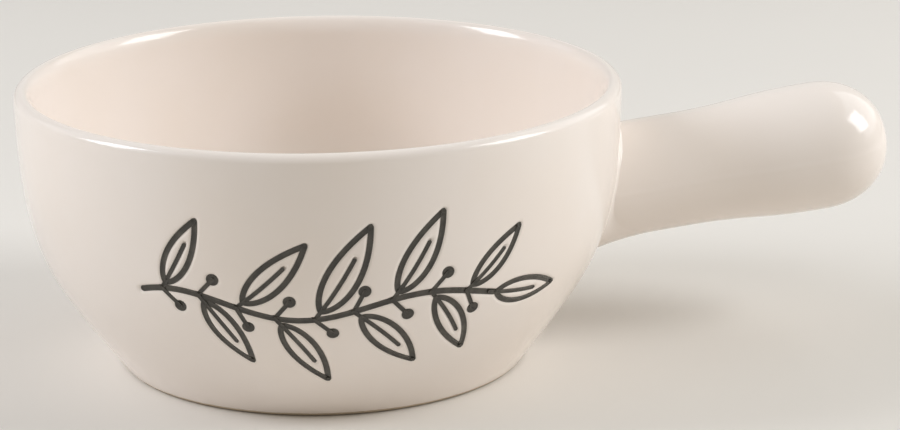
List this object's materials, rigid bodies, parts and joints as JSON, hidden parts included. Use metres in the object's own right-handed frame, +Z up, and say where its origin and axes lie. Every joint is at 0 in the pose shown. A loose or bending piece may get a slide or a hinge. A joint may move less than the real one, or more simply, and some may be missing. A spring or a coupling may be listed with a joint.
{
  "type": "handled soup bowl",
  "caption": "Round glazed stoneware soup bowl with a rounded lip, a foot ring and a hollow stick handle luted to its wall, for holding and serving soup.",
  "frame": {"origin": "on the table plane, under the middle of the outline from the rim's far side to the handle's end", "axes": "+Z up through the bowl's mouth, +X towards the handle's end, and the XZ plane cuts bowl and handle into mirror halves"},
  "size_m": [0.207, 0.14, 0.066],
  "materials": {
    "bowl_glaze": "glossy ivory glaze, with a bare clay foot ring",
    "handle_glaze": "glossy ivory glaze",
    "slip_glaze": "glossy ivory glaze"
  },
  "bodies": {
    "root": {"bowl_body": "bowl_glaze", "handle": "handle_glaze", "luting_slip": "slip_glaze"}
  },
  "joints": []
}
